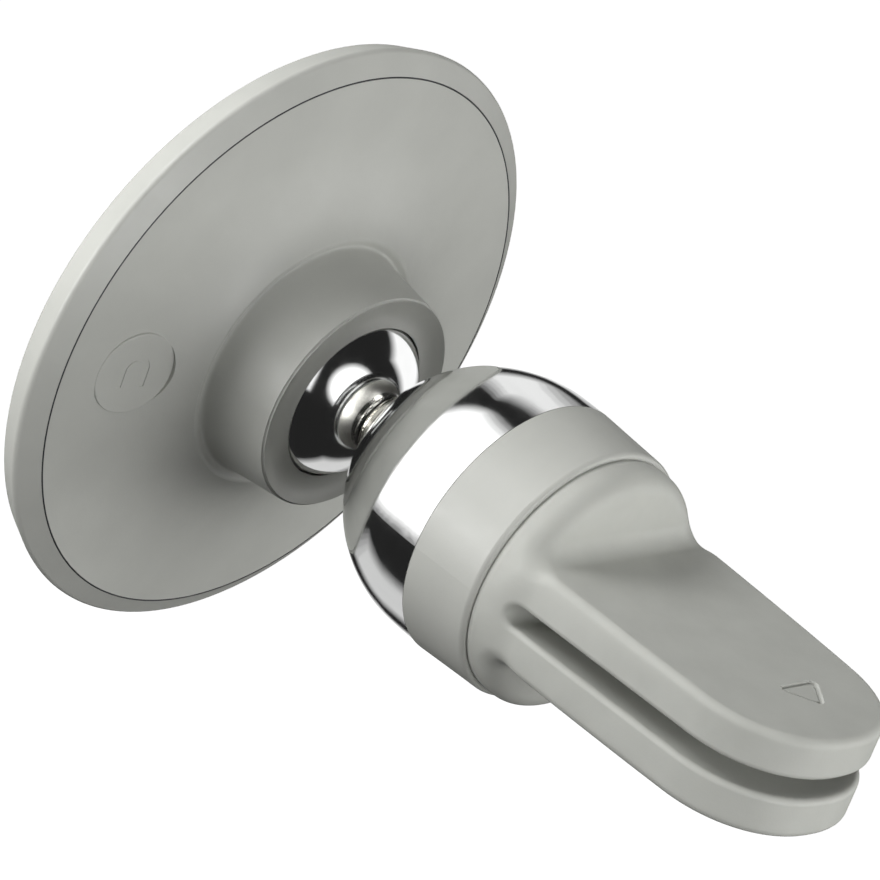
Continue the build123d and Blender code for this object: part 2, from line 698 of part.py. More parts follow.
# ---- write the pieces ---------------------------------------------------------------------------
BUILDERS = (
    phone_pad,
    pad_adhesive,
    front_shell,
    magnet_carrier,
    magnet_ring,
    yoke_ring,
    back_cover,
    front_seat,
    rear_seat,
    disc_spring,
    clamp_plate,
    clamp_screws,
    ball_stud,
    neck_ferrule,
    stud_washer,
    stud_nut,
    slip_washer,
    stud_bush,
    dome_cap,
    bearing_block,
    collar_ring,
    clip_frame,
    frame_screws,
    clip_boot,
)

for builder in BUILDERS:
    save(builder.__name__, builder())

upper_core = jaw_core()
upper_cover = jaw_cover(upper_core)
save("upper_jaw_core", upper_core)
save("upper_jaw_cover", upper_cover - arrow_mark())
save("lower_jaw_core", mirror(upper_core, Plane.XY))
save("lower_jaw_cover", mirror(upper_cover, Plane.XY))
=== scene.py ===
"""Looks of the magnetic car phone mount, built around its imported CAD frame.

Metres, +Z up. The common axis of all round pieces is +Y, from the phone's face to the tips of the
jaws, and the mouth of the vent slot is at the origin.
"""
import json
from math import cos, pi, radians, sin, tan

import bmesh
import bpy
import numpy as np
from mathutils import Matrix, Vector


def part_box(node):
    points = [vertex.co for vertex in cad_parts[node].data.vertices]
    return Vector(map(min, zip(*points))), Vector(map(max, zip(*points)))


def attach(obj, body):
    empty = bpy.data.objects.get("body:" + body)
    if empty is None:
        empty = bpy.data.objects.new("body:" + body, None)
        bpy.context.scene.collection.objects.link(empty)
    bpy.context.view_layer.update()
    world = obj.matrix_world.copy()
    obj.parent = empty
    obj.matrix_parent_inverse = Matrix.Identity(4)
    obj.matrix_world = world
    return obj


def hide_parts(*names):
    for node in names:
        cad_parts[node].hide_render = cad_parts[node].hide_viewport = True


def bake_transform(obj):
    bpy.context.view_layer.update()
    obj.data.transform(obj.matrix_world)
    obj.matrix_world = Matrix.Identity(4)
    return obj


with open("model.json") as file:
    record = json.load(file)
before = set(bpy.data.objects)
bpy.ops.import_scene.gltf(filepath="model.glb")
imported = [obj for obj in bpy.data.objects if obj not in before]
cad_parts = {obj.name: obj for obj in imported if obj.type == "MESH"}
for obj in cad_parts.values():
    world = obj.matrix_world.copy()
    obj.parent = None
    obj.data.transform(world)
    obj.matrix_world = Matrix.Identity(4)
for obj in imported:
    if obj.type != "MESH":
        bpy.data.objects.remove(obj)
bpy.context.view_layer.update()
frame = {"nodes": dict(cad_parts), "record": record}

MM = 0.001
nodes = frame["nodes"]


# ---- sizes, read from the frame where it has them -----------------------------------------------
boot_low, boot_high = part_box("clip_boot")
jaw_low, jaw_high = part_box("upper_jaw_cover")
core_low, core_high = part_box("upper_jaw_core")

BOOT_R = boot_high.x
BOOT_FRONT = boot_low.y
BOOT_SETBACK = 0.6 * MM                # the silicone's rear face is this much short of the CAD boot
BOOT_REAR = boot_high.y - BOOT_SETBACK
COLLAR_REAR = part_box("collar_ring")[1].y
PLUG_R = 10.4 * MM                     # of the plastic plug, where it is inside the silicone
PLUG_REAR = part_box("clip_frame")[1].y

JAW_TOP = jaw_high.z
SLOT_HALF_GAP = jaw_low.z
SLOT_MOUTH = jaw_high.y
SLOT_DEPTH = 29.9 * MM
SLOT_ROOT = SLOT_MOUTH - SLOT_DEPTH
JAW_ROOT = jaw_low.y
JAW_ROOT_HALF = jaw_high.x
TIP_SETBACK = 0.3 * MM                 # the silicone's tip is this much short of the CAD jaw's
TIP_LENGTH = 9.7 * MM                  # the rounded tip begins this far from the slot's mouth
JAW_TIP = SLOT_MOUTH - TIP_SETBACK
JAW_SHOULDER = SLOT_MOUTH - TIP_LENGTH
JAW_SHOULDER_HALF = 10.2 * MM          # half the jaws' width there
JAW_TIP_POWER = 2.2                    # 2 gives an ellipse, and more a squarer tip
JAW_SPREAD = 1.3 * MM                  # the jaws widen by this much into the boot
SPREAD_START = BOOT_REAR + 1.8 * MM    # they start to widen here, going forward
SPREAD_LENGTH = 4.5 * MM

BOOT_EDGE_R = 1.9 * MM                 # rounding of the boot's rear edge
JAW_EDGE_R = 0.8 * MM
EDGE_CHANGE = 3.0 * MM                 # length over which one rounding turns into the other
CYLINDER_R = 1.0 * MM                  # rounding where the boot's cylinder meets the jaws' sides
SLOT_EDGE_R = 0.55 * MM
ROOT_FILLET_R = 1.7 * MM               # hollow fillet between the boot's rear face and a jaw
HEM_STEP = 0.1 * MM                    # the boot is this much slimmer under the collar
HEM_RISE = 0.6 * MM                    # length of the slope up from there
SKIN_CELL = 0.26 * MM                  # grid pitch of the silicone skins
SKIN_MARGIN = 2.5 * SKIN_CELL          # room between the silicone and the edge of its grid
SETTLE_ROUNDS = 3                      # steps that bring the net onto the silicone's surface
SLOPE_STEP = 0.01 * MM                 # distance over which a slope is measured
LEAST_SQUARED_SLOPE = 0.1              # keeps steps short where a distance formula is flat
TINY_SLOPE = 1e-6                      # guards a division by a slope of nothing
CREASE_COSINE = 0.5                    # a face turned further off its corner's normal stays flat
CUT_TOLERANCE = 1e-7                   # corners this close to the cut count as on it

ARROW_CORNERS = ((-3.1, -8.35), (0.2, -8.3), (-1.6, -6.3))   # millimetres, on the upper jaw
ARROW_ROUND = 0.35 * MM
ARROW_LINE = 0.16 * MM                 # half width of the engraved outline
ARROW_DEPTH = 0.28 * MM
ARROW_RECESS = 0.12 * MM               # depth of the face inside the outline
ARROW_REACH = 3.2 * MM                 # the mesh is finer this far round the arrow's middle
ARROW_CUTS = 3                         # cuts in each of the mesh's edges there

SEAM_PROUD = 0.03 * MM                 # the seam's middle line is this far outside the back cover
SEAM_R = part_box("back_cover")[1].x + SEAM_PROUD
SEAM_TO_MOUTH = 71.235 * MM            # along the axis, from the seam to the mouth of the slot
SEAM_STATION = SLOT_MOUTH - SEAM_TO_MOUTH
SEAM_HALF_WIDTH = 0.085 * MM
SEAM_STEPS = 240
SEAM_SIDES = 8

FERRULE_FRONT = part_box("neck_ferrule")[0].y
FERRULE_POLISH = 1.0 * MM              # the ferrule is polished for this length behind its front
FERRULE_POLISH_EDGE = 0.3 * MM         # and turns satin over this length


# ---- silicone skins: one smooth shape by distance formulas --------------------------------------
def round_union(a, b, radius):
    """Distance to two joined solids with a round fillet where they meet."""
    inside = np.hypot(np.maximum(radius - a, 0), np.maximum(radius - b, 0))
    return np.maximum(radius, np.minimum(a, b)) - inside


def round_common(a, b, radius):
    """Distance to the common part of two solids, its edge rounded."""
    return -round_union(-a, -b, radius)


def smooth_step(value):
    """Smooth change from 0 to 1 while the value goes from 0 to 1."""
    t = np.clip(value, 0, 1)
    return t * t * (3 - 2 * t)


def boot_side(x, y, z):
    """Round side of the boot, slimmer under the collar."""
    step = np.clip((COLLAR_REAR + HEM_RISE - y) / HEM_RISE, 0, 1)
    return np.hypot(x, z) - (BOOT_R - HEM_STEP * step)


def jaw_plan(x, y):
    """Flat outline of the jaws, seen along Z: tapered sides and a tip squarer than an ellipse."""
    slope = (JAW_SHOULDER_HALF - JAW_ROOT_HALF) / (JAW_SHOULDER - JAW_ROOT)
    spread = JAW_SPREAD * smooth_step((SPREAD_START - y) / SPREAD_LENGTH)
    half = JAW_ROOT_HALF + slope * (y - JAW_ROOT) + spread
    across = np.abs(x) / half
    ahead = np.maximum(y - JAW_SHOULDER, 0) / (JAW_TIP - JAW_SHOULDER)
    return half * ((across**JAW_TIP_POWER + ahead**JAW_TIP_POWER) ** (1 / JAW_TIP_POWER) - 1)


def slot_shape(y, z):
    """The vent slot with its round root."""
    centre = SLOT_ROOT + SLOT_HALF_GAP
    root = np.hypot(y - centre, z) - SLOT_HALF_GAP
    return np.where(y < centre, root, np.abs(z) - SLOT_HALF_GAP)


def core_room(x, y, z):
    """Room inside the skins for the plastic plug and the two prongs."""
    plug = np.maximum(np.hypot(x, z) - PLUG_R, y - PLUG_REAR)
    middle = (core_low.z + core_high.z) / 2
    level = np.abs(np.abs(z) - middle) - (core_high.z - core_low.z) / 2
    prong = np.maximum(np.maximum(level, np.abs(x) - core_high.x), y - core_high.y)
    return np.minimum(plug, prong)


def arrow_edge(x, y):
    """Distance from the edge of the arrow, a three-cornered figure with round corners."""
    corners = [np.array(corner) * MM for corner in ARROW_CORNERS]
    nearest = np.full(np.shape(x), np.inf)
    inside = np.full(np.shape(x), True)
    for start, end in zip(corners, corners[1:] + corners[:1]):
        along = end - start
        px, py = x - start[0], y - start[1]
        t = np.clip((px * along[0] + py * along[1]) / (along @ along), 0, 1)
        nearest = np.minimum(nearest, np.hypot(px - t * along[0], py - t * along[1]))
        inside &= along[0] * py - along[1] * px > 0
    return np.where(inside, -nearest, nearest) - ARROW_ROUND


def arrow_groove(x, y, z):
    """Depth of the arrow on the upper jaw: a shallow recess with an engraved outline."""
    edge = arrow_edge(x, y)
    line = 1 - smooth_step(np.abs(edge) / (2 * ARROW_LINE))
    recess = 1 - smooth_step(edge / (2 * ARROW_LINE) + 1)
    depth = np.maximum(ARROW_DEPTH * line, ARROW_RECESS * recess)
    return depth * (z > JAW_TOP / 2)


def skin_shape(points):
    """Distance to the silicone skin, for an array of points."""
    x, y, z = points[..., 0], points[..., 1], points[..., 2]
    envelope = round_common(boot_side(x, y, z), jaw_plan(x, y), CYLINDER_R)
    rear = round_union(y - BOOT_REAR, np.abs(z) - JAW_TOP, ROOT_FILLET_R)
    change = smooth_step((y - SLOT_ROOT) / EDGE_CHANGE)
    solid = round_common(envelope, rear, BOOT_EDGE_R + (JAW_EDGE_R - BOOT_EDGE_R) * change)
    solid = np.maximum(solid, BOOT_FRONT - y)
    solid = round_common(solid, -slot_shape(y, z), SLOT_EDGE_R)
    solid = solid + arrow_groove(x, y, z)
    return np.maximum(solid, -core_room(x, y, z))


def gradient(shape, points):
    """Slope of a distance formula at each point."""
    slopes = []
    for axis in np.eye(3) * SLOPE_STEP:
        slopes.append((shape(points + axis) - shape(points - axis)) / (2 * SLOPE_STEP))
    return np.stack(slopes, -1)


def settle(shape, points):
    """Move points onto the surface of a shape."""
    for _ in range(SETTLE_ROUNDS):
        slope = gradient(shape, points)
        size = np.maximum((slope**2).sum(-1, keepdims=True), LEAST_SQUARED_SLOPE)
        shift = shape(points)[..., None] * slope / size
        points = points - np.clip(shift, -SKIN_CELL, SKIN_CELL)
    return points


def net(shape, low, high, cell):
    """Closed quad mesh round a shape: one corner in each grid cell that its surface crosses."""
    counts = np.ceil((high - low) / cell).astype(int) + 1
    axes = [low[i] + cell * np.arange(counts[i]) for i in range(3)]
    grid = np.stack(np.meshgrid(*axes, indexing="ij"), -1)
    inside = shape(grid) < 0
    cells = [slice(0, -1), slice(1, None)]
    corners = [inside[a, b, c] for a in cells for b in cells for c in cells]
    total = np.sum(corners, axis=0)
    mixed = (total > 0) & (total < 8)
    number = np.full(mixed.shape, -1)
    number[mixed] = np.arange(mixed.sum())
    points = grid[:-1, :-1, :-1][mixed] + cell / 2
    quads = []
    for axis in range(3):
        left = [slice(None)] * 3
        right = [slice(None)] * 3
        left[axis], right[axis] = cells
        change = inside[tuple(left)] != inside[tuple(right)]
        enters = inside[tuple(right)]
        b, c = [i for i in range(3) if i != axis]
        where = np.argwhere(change)
        keep = (where[:, b] > 0) & (where[:, c] > 0)
        keep &= (where[:, b] < counts[b] - 1) & (where[:, c] < counts[c] - 1)
        where = where[keep]
        ring = []
        for db, dc in ((0, 0), (1, 0), (1, 1), (0, 1)):
            place = where.copy()
            place[:, b] -= db
            place[:, c] -= dc
            ring.append(number[tuple(place.T)])
        quad = np.stack(ring, -1)
        # turn round the faces that would look inwards
        flip = enters[tuple(where.T)] == (axis != 1)
        quad[flip] = quad[flip][:, ::-1]
        quads.append(quad)
    return points, np.concatenate(quads)


def refine_arrow(bm):
    """Finer mesh on the upper jaw round the arrow."""
    middle = Vector((*np.mean(ARROW_CORNERS, axis=0) * MM, JAW_TOP))
    near = [f for f in bm.faces if (f.calc_center_median() - middle).length < ARROW_REACH]
    edges = list({edge for face in near for edge in face.edges})
    bmesh.ops.subdivide_edges(bm, edges=edges, cuts=ARROW_CUTS, use_grid_fill=True)


def skin_mesh():
    """Mesh of both halves of the clip's silicone, settled on its shape."""
    low = np.array([-BOOT_R, BOOT_FRONT, -BOOT_R]) - SKIN_MARGIN
    high = np.array([BOOT_R, SLOT_MOUTH, BOOT_R]) + SKIN_MARGIN
    points, quads = net(skin_shape, low, high, SKIN_CELL)
    mesh = bpy.data.meshes.new("silicone")
    mesh.from_pydata(settle(skin_shape, points).tolist(), [], quads.tolist())
    bm = bmesh.new()
    bm.from_mesh(mesh)
    refine_arrow(bm)
    bmesh.ops.recalc_face_normals(bm, faces=bm.faces[:])
    points = np.array([vert.co for vert in bm.verts])
    for vert, point in zip(bm.verts, settle(skin_shape, points)):
        vert.co = point
    bm.to_mesh(mesh)
    bm.free()
    return mesh


def silicone_skin(name, whole, side):
    """Upper (side 1) or lower (side -1) half of the clip's silicone."""
    mesh = whole.copy()
    mesh.name = name
    bm = bmesh.new()
    bm.from_mesh(mesh)
    parts = bm.verts[:] + bm.edges[:] + bm.faces[:]
    cut = bmesh.ops.bisect_plane(
        bm, geom=parts, plane_co=(0, 0, 0), plane_no=(0, 0, side), clear_inner=True,
        dist=CUT_TOLERANCE,
    )
    rim = [e for e in cut["geom_cut"] if isinstance(e, bmesh.types.BMEdge)]
    bmesh.ops.triangle_fill(bm, edges=rim, use_beauty=True)
    bmesh.ops.recalc_face_normals(bm, faces=bm.faces[:])
    for face in bm.faces:
        face.smooth = True
    bm.to_mesh(mesh)
    bm.free()
    shade_by_shape(mesh)
    skin = bpy.data.objects.new(name, mesh)
    bpy.context.scene.collection.objects.link(skin)
    return skin


def shade_by_shape(mesh):
    """Normals from the distance formula, so that the two halves shade as one piece."""
    points = np.array([vert.co for vert in mesh.vertices])
    slope = gradient(skin_shape, points)
    slope /= np.maximum(np.linalg.norm(slope, axis=1, keepdims=True), TINY_SLOPE)
    normals = []
    for face in mesh.polygons:
        for corner in face.vertices:
            smooth = Vector(slope[corner])
            follows = smooth.dot(face.normal) > CREASE_COSINE
            normals.append(smooth if follows else face.normal)
    mesh.normals_split_custom_set(normals)


# ---- painted shade of the seam between the front shell and the back cover ------------------------
def seam_shade_ring():
    """Thin dark ring that paints the shade in the gap round the back cover."""
    bm = bmesh.new()
    loops = []
    for i in range(SEAM_STEPS):
        turn = 2 * pi * i / SEAM_STEPS
        loop = []
        for k in range(SEAM_SIDES):
            bend = 2 * pi * k / SEAM_SIDES
            radius = SEAM_R + SEAM_HALF_WIDTH * cos(bend)
            station = SEAM_STATION + SEAM_HALF_WIDTH * sin(bend)
            loop.append(bm.verts.new((radius * cos(turn), station, radius * sin(turn))))
        loops.append(loop)
    for first, second in zip(loops, loops[1:] + loops[:1]):
        for k in range(SEAM_SIDES):
            after = (k + 1) % SEAM_SIDES
            bm.faces.new((first[k], first[after], second[after], second[k])).smooth = True
    bmesh.ops.recalc_face_normals(bm, faces=bm.faces[:])
    mesh = bpy.data.meshes.new("painted_seam_shade")
    bm.to_mesh(mesh)
    bm.free()
    ring = bpy.data.objects.new("painted_seam_shade", mesh)
    bpy.context.scene.collection.objects.link(ring)
    return ring


# ---- materials ----------------------------------------------------------------------------------
PATTERN_SPAN = (0.3, 0.7)       # a noise pattern lies mostly between these values
WAVE_RATE = 20                  # radians of a wave pattern in one unit of length, at scale 1


class Finish:
    """A node material, with short ways to give its surface procedural detail."""

    def __init__(self, name, colour, roughness, metallic=0.0):
        self.material = bpy.data.materials.new(name)
        self.material.use_nodes = True
        self.tree = self.material.node_tree
        self.shader = self.tree.nodes["Principled BSDF"]
        self.shader.inputs["Base Color"].default_value = (*colour, 1)
        self.shader.inputs["Roughness"].default_value = roughness
        self.shader.inputs["Metallic"].default_value = metallic
        self.place = self.tree.nodes.new("ShaderNodeTexCoord").outputs["Object"]
        self.normal = None

    def node(self, kind, **values):
        """New shader node with its input sockets set by name."""
        new = self.tree.nodes.new(kind)
        for socket, value in values.items():
            new.inputs[socket].default_value = value
        return new

    def stretched(self, scale):
        """Object coordinates stretched along the axes."""
        mapping = self.node("ShaderNodeMapping", Scale=scale)
        self.tree.links.new(self.place, mapping.inputs["Vector"])
        return mapping.outputs["Vector"]

    def noise(self, size, detail=2.0, place=None):
        """Cloudy pattern with patches of about the given size."""
        new = self.node("ShaderNodeTexNoise", Scale=1 / size, Detail=detail)
        self.tree.links.new(place or self.place, new.inputs["Vector"])
        return new.outputs["Fac"]

    def rings(self, pitch, distortion):
        """Fine turning marks round the +Y axis."""
        new = self.node("ShaderNodeTexWave", Scale=2 * pi / (WAVE_RATE * pitch), Distortion=distortion)
        new.wave_type = "RINGS"
        new.rings_direction = "Y"
        self.tree.links.new(self.place, new.inputs["Vector"])
        return new.outputs["Fac"]

    def cells(self, size):
        """Distance pattern of small round cells."""
        new = self.node("ShaderNodeTexVoronoi", Scale=1 / size)
        self.tree.links.new(self.place, new.inputs["Vector"])
        return new.outputs["Distance"]

    def relief(self, pattern, height):
        """Raise the surface by a pattern, on top of any relief that it has already."""
        bump = self.node("ShaderNodeBump", Distance=height)
        self.tree.links.new(pattern, bump.inputs["Height"])
        if self.normal:
            self.tree.links.new(self.normal, bump.inputs["Normal"])
        self.normal = bump.outputs["Normal"]
        self.tree.links.new(self.normal, self.shader.inputs["Normal"])

    def follow(self, value, start, end, socket, low, high):
        """Let a number on the shader go from low to high while a value goes from start to end."""
        span = self.node("ShaderNodeMapRange")
        span.inputs["From Min"].default_value = start
        span.inputs["From Max"].default_value = end
        span.inputs["To Min"].default_value = low
        span.inputs["To Max"].default_value = high
        self.tree.links.new(value, span.inputs["Value"])
        self.tree.links.new(span.outputs["Result"], self.shader.inputs[socket])

    def spread(self, pattern, socket, low, high):
        """Let a number on the shader follow a pattern between two values."""
        self.follow(pattern, *PATTERN_SPAN, socket, low, high)

    def along_axis(self, socket, start, end, low, high):
        """Let a number on the shader change along +Y, between two places on the axis."""
        split = self.node("ShaderNodeSeparateXYZ")
        self.tree.links.new(self.place, split.inputs["Vector"])
        self.follow(split.outputs["Y"], start, end, socket, low, high)

    def shades(self, pattern, dark, light):
        """Let the base colour follow a pattern between two colours."""
        ramp = self.tree.nodes.new("ShaderNodeValToRGB")
        for element, place, colour in zip(ramp.color_ramp.elements, PATTERN_SPAN, (dark, light)):
            element.position = place
            element.color = (*colour, 1)
        self.tree.links.new(pattern, ramp.inputs["Fac"])
        self.tree.links.new(ramp.outputs["Color"], self.shader.inputs["Base Color"])


def tinted(colour, factor):
    """The same colour, lighter or darker."""
    return tuple(channel * factor for channel in colour)


PLASTIC_COLOUR = (0.545, 0.552, 0.516)
SILICONE_COLOUR = (0.530, 0.538, 0.500)


def shell_plastic():
    """Soft-touch grey plastic: very fine grain and faint handling marks."""
    finish = Finish("shell_plastic", PLASTIC_COLOUR, 0.5)
    patches = finish.noise(6 * MM, detail=4.0)
    finish.shades(patches, tinted(PLASTIC_COLOUR, 0.97), tinted(PLASTIC_COLOUR, 1.03))
    finish.spread(finish.noise(1.1 * MM, detail=3.0), "Roughness", 0.39, 0.48)
    finish.relief(finish.noise(0.16 * MM), 0.006 * MM)
    finish.relief(finish.noise(0.5 * MM), 0.006 * MM)
    return finish.material


def clip_silicone():
    """Matt silicone: softer and a little rougher than the shell."""
    finish = Finish("clip_silicone", SILICONE_COLOUR, 0.6)
    patches = finish.noise(4 * MM, detail=5.0)
    finish.shades(patches, tinted(SILICONE_COLOUR, 0.965), tinted(SILICONE_COLOUR, 1.035))
    finish.spread(finish.noise(0.8 * MM, detail=3.0), "Roughness", 0.54, 0.66)
    finish.relief(finish.noise(0.22 * MM), 0.008 * MM)
    finish.relief(finish.noise(2.5 * MM), 0.02 * MM)
    finish.shader.inputs["Subsurface Weight"].default_value = 0.08
    finish.shader.inputs["Subsurface Scale"].default_value = 0.8 * MM
    finish.shader.inputs["Subsurface Radius"].default_value = (1.0, 0.9, 0.8)
    return finish.material


def polished_chrome():
    """Bright plating with a slight wave and hair-fine wiping marks."""
    colour = (0.86, 0.865, 0.86)
    finish = Finish("polished_chrome", colour, 0.09, metallic=1.0)
    finish.spread(finish.noise(1.6 * MM, detail=5.0), "Roughness", 0.07, 0.12)
    wiping = finish.noise(1.5 * MM, detail=4.0, place=finish.stretched((1.0, 0.3, 1.0)))
    finish.shades(wiping, tinted(colour, 0.985), tinted(colour, 1.015))
    finish.relief(finish.noise(3 * MM, detail=1.0), 0.004 * MM)
    return finish.material


def satin_nickel():
    """Bead-blasted nickel with a polished front: bright, grainy and wide in its highlights."""
    colour = (0.90, 0.885, 0.83)
    finish = Finish("satin_nickel", colour, 0.38, metallic=1.0)
    finish.shades(finish.noise(0.25 * MM, detail=3.0), tinted(colour, 0.86), tinted(colour, 1.1))
    polish_end = FERRULE_FRONT + FERRULE_POLISH
    satin_start = polish_end + FERRULE_POLISH_EDGE
    finish.along_axis("Roughness", polish_end, satin_start, 0.14, 0.4)
    finish.relief(finish.cells(0.14 * MM), 0.01 * MM)
    finish.relief(finish.rings(0.2 * MM, 1.0), 0.003 * MM)
    return finish.material


def pad_silicone():
    """Dark grippy pad with a pebbled face."""
    colour = (0.10, 0.10, 0.095)
    finish = Finish("pad_silicone", colour, 0.65)
    finish.shades(finish.noise(2 * MM, detail=4.0), tinted(colour, 0.9), tinted(colour, 1.15))
    finish.spread(finish.noise(0.9 * MM), "Roughness", 0.56, 0.72)
    finish.relief(finish.cells(0.45 * MM), 0.03 * MM)
    return finish.material


def foam_tape():
    """White foam tape with open cells."""
    colour = (0.72, 0.72, 0.68)
    finish = Finish("foam_tape", colour, 0.9)
    finish.shades(finish.cells(0.2 * MM), tinted(colour, 0.85), tinted(colour, 1.05))
    finish.relief(finish.cells(0.2 * MM), 0.05 * MM)
    return finish.material


def inner_plastic():
    """Dark moulded plastic with flow marks along the piece."""
    colour = (0.035, 0.036, 0.038)
    finish = Finish("inner_plastic", colour, 0.42)
    flow = finish.noise(3 * MM, detail=4.0, place=finish.stretched((1.0, 0.25, 1.0)))
    finish.shades(flow, tinted(colour, 0.8), tinted(colour, 1.3))
    finish.spread(finish.noise(0.6 * MM), "Roughness", 0.34, 0.5)
    finish.relief(finish.noise(0.18 * MM), 0.012 * MM)
    return finish.material


def magnet_plating():
    """Nickel-plated sintered magnets, faintly pitted."""
    colour = (0.66, 0.65, 0.62)
    finish = Finish("magnet_plating", colour, 0.25, metallic=1.0)
    finish.spread(finish.noise(0.7 * MM, detail=4.0), "Roughness", 0.18, 0.36)
    finish.shades(finish.noise(1.8 * MM, detail=3.0), tinted(colour, 0.92), tinted(colour, 1.05))
    finish.relief(finish.cells(0.3 * MM), 0.008 * MM)
    return finish.material


def plain_steel():
    """Rolled and turned steel with ring-shaped tool marks."""
    colour = (0.56, 0.56, 0.57)
    finish = Finish("plain_steel", colour, 0.3, metallic=1.0)
    finish.spread(finish.noise(0.9 * MM, detail=4.0), "Roughness", 0.24, 0.42)
    finish.shades(finish.noise(2.5 * MM, detail=4.0), tinted(colour, 0.88), tinted(colour, 1.06))
    finish.relief(finish.rings(0.12 * MM, 2.0), 0.004 * MM)
    return finish.material


def bearing_plastic():
    """Natural acetal of the ball seats: milky, with turning marks."""
    colour = (0.80, 0.79, 0.74)
    finish = Finish("bearing_plastic", colour, 0.35)
    finish.shades(finish.noise(2 * MM, detail=3.0), tinted(colour, 0.95), tinted(colour, 1.03))
    finish.spread(finish.noise(0.8 * MM), "Roughness", 0.28, 0.42)
    finish.relief(finish.rings(0.15 * MM, 0.5), 0.005 * MM)
    finish.shader.inputs["Subsurface Weight"].default_value = 0.2
    finish.shader.inputs["Subsurface Scale"].default_value = 1.0 * MM
    return finish.material


def turned_brass():
    """Brass bush with turning marks and a little tarnish."""
    colour = (0.71, 0.50, 0.22)
    finish = Finish("turned_brass", colour, 0.25, metallic=1.0)
    finish.shades(finish.noise(1.5 * MM, detail=5.0), tinted(colour, 0.82), tinted(colour, 1.08))
    finish.spread(finish.noise(0.7 * MM), "Roughness", 0.18, 0.34)
    finish.relief(finish.rings(0.1 * MM, 0.5), 0.005 * MM)
    return finish.material


def dress(obj, material):
    """Give an object one material."""
    obj.data.materials.clear()
    obj.data.materials.append(material)


finishes = {
    "adhesive": foam_tape(),
    "bearing_plastic": bearing_plastic(),
    "brass": turned_brass(),
    "chrome": polished_chrome(),
    "clip_silicone": clip_silicone(),
    "inner_plastic": inner_plastic(),
    "magnet": magnet_plating(),
    "pad_silicone": pad_silicone(),
    "satin_nickel": satin_nickel(),
    "shell_plastic": shell_plastic(),
    "steel": plain_steel(),
}
for part in frame["record"]["subparts"]:
    dress(nodes[part["node"]], finishes[part["material_slot"]])

# a dark ring that paints the shade in the gap of the seam
seam = seam_shade_ring()
dress(seam, finishes["inner_plastic"])
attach(seam, "head")

whole_skin = skin_mesh()
for half, side in (("upper", 1), ("lower", -1)):
    skin = silicone_skin(f"{half}_silicone_skin", whole_skin, side)
    dress(skin, finishes["clip_silicone"])
    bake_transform(skin)
    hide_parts(f"{half}_jaw_cover")
    if side == 1:
        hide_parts("clip_boot")
bpy.data.meshes.remove(whole_skin)


# ---- stage and light ----------------------------------------------------------------------------
FLOOR_Z = -0.35
FLOOR_R = 8.0
FLOOR_SIDES = 96
STAGE_CENTRE = Vector((0, -50 * MM, 0))     # what the lights face
LIGHT_DISTANCE = 0.33

# Softboxes as the object sees them: azimuth (0 is +Y, 90 is -X), elevation, width and height in
# degrees, then brightness. The first set lights everything but the bright metal.
BODY_LIGHTS = {
    "left": (-120, 5, 26, 26, 9.0),
    "left_back": (-150, 5, 26, 26, 1.4),
    "left_front": (-45, 5, 52, 26, 0.75),
    "left_high": (-108, 38, 26, 26, 1.1),
    "left_top": (-90, 68, 26, 26, 0.8),
    "key": (-144, 38, 26, 26, 6.0),
    "back_high": (180, 38, 26, 26, 1.9),
    "right_back": (144, 38, 26, 26, 0.9),
    "right": (48, 5, 60, 26, 1.5),
    "front": (0, 5, 26, 26, 7.5),
    "front_top": (0, 68, 26, 26, 2.0),
}
# The second set is what the bright metal mirrors: broad white cards with dark gaps between them.
METAL_CARDS = {
    "card_key": (-139, 22, 58, 84, 1.5),
    "card_back": (134, 31, 24, 36, 0.9),
    "card_back_low": (127, -24, 14, 38, 1.2),
    "card_bottom": (-178, -56, 32, 28, 0.65),
    "card_front": (-14, 20, 54, 50, 1.6),
    "card_side": (84, 10, 46, 46, 1.1),
    "card_sliver": (-66, 31, 5, 54, 1.2),
    "card_under": (92, -62, 32, 34, 0.7),
}
CARD_EDGE = 9                   # degrees over which the wide cards fade out
CARD_EDGE_SHARE = 0.6           # a narrow card fades out over this share of its width
CARD_STEPS = 5
CARD_SPACING = 3 * MM           # sheets at one distance would hide each other
ROUND_CARDS = ("card_front",)   # the other cards are rectangles
METAL_PIECES = ("ball_stud", "dome_cap", "slip_washer")


def pale_floor():
    """Large round floor, white to the camera."""
    bm = bmesh.new()
    bmesh.ops.create_circle(bm, cap_ends=True, radius=FLOOR_R, segments=FLOOR_SIDES)
    mesh = bpy.data.meshes.new("floor")
    bm.to_mesh(mesh)
    bm.free()
    floor = bpy.data.objects.new("floor", mesh)
    floor.location = (0, 0, FLOOR_Z)
    bpy.context.scene.collection.objects.link(floor)
    finish = Finish("pale_floor", (0.9, 0.9, 0.9), 0.8)
    finish.shader.inputs["Emission Color"].default_value = (1, 1, 1, 1)
    finish.shader.inputs["Emission Strength"].default_value = 1.0
    dress(floor, finish.material)
    floor.visible_glossy = False
    floor.visible_diffuse = False


def room_light(camera_level, fill_level, glossy_level):
    """Even light from all round: white to the camera, soft fill on the object, dark in mirrors."""
    world = bpy.data.worlds.new("studio")
    bpy.context.scene.world = world
    world.use_nodes = True
    tree = world.node_tree
    background = tree.nodes["Background"]
    ray = tree.nodes.new("ShaderNodeLightPath")
    level = tree.nodes.new("ShaderNodeMix")
    level.inputs["A"].default_value = fill_level
    level.inputs["B"].default_value = glossy_level
    tree.links.new(ray.outputs["Is Glossy Ray"], level.inputs["Factor"])
    seen = tree.nodes.new("ShaderNodeMix")
    seen.inputs["B"].default_value = camera_level
    tree.links.new(ray.outputs["Is Camera Ray"], seen.inputs["Factor"])
    tree.links.new(level.outputs["Result"], seen.inputs["A"])
    tree.links.new(seen.outputs["Result"], background.inputs["Strength"])
    background.inputs["Color"].default_value = (1, 1, 1, 1)


